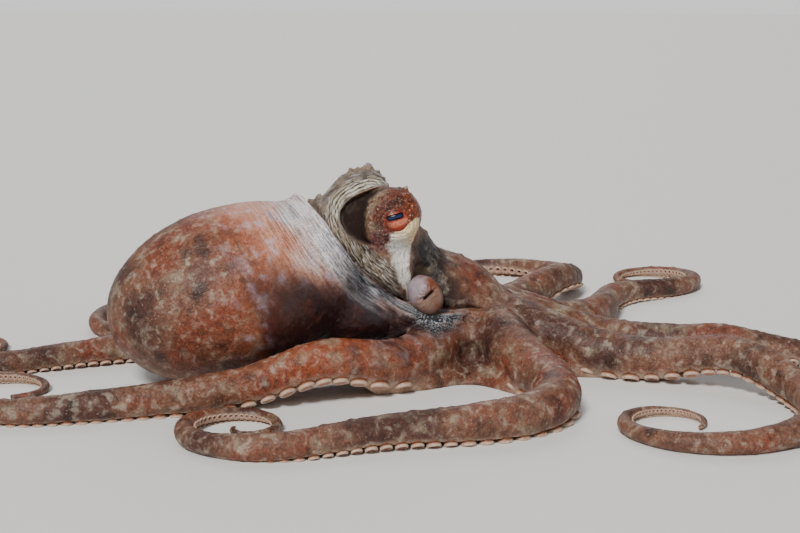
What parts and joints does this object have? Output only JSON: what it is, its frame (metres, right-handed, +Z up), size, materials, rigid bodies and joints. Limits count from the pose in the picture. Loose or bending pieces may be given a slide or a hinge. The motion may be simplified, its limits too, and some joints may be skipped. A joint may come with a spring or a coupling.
{
  "type": "common octopus model",
  "caption": "Life-size still model of a common octopus resting on the floor, head raised, funnel turned to its right side, arms spread with curled tips.",
  "frame": {"origin": "on the floor, in the middle of the ring of arms, on the flat underside of the arm crown", "axes": "+X forwards from the mantle to the arms, +Y to the animal's left, +Z up"},
  "size_m": [0.4495, 0.3717, 0.0933],
  "materials": {
    "skin": "moist soft skin, satin, mottled brown, cream and rust with fine folds and small bumps",
    "pale_skin": "moist smooth pale skin of the funnel and suckers, satin",
    "eye": "wet glossy eye, orange-red iris with a dark bar pupil"
  },
  "bodies": {
    "root": {"mantle": "skin", "head": "skin", "arm_crown": "skin", "funnel": "pale_skin", "eye_right": "eye", "eye_left": "eye", "arm_right_1_upper": "skin", "arm_right_1_middle": "skin", "arm_right_1_tip": "skin", "arm_right_2_upper": "skin", "arm_right_2_middle": "skin", "arm_right_2_tip": "skin", "arm_right_3_upper": "skin", "arm_right_3_middle": "skin", "arm_right_3_tip": "skin", "arm_right_4_upper": "skin", "arm_right_4_middle": "skin", "arm_right_4_tip": "skin", "arm_left_1_upper": "skin", "arm_left_1_middle": "skin", "arm_left_1_tip": "skin", "arm_left_2_upper": "skin", "arm_left_2_middle": "skin", "arm_left_2_tip": "skin", "arm_left_3_upper": "skin", "arm_left_3_middle": "skin", "arm_left_3_tip": "skin", "arm_left_4_upper": "skin", "arm_left_4_middle": "skin", "arm_left_4_tip": "skin"}
  },
  "joints": []
}
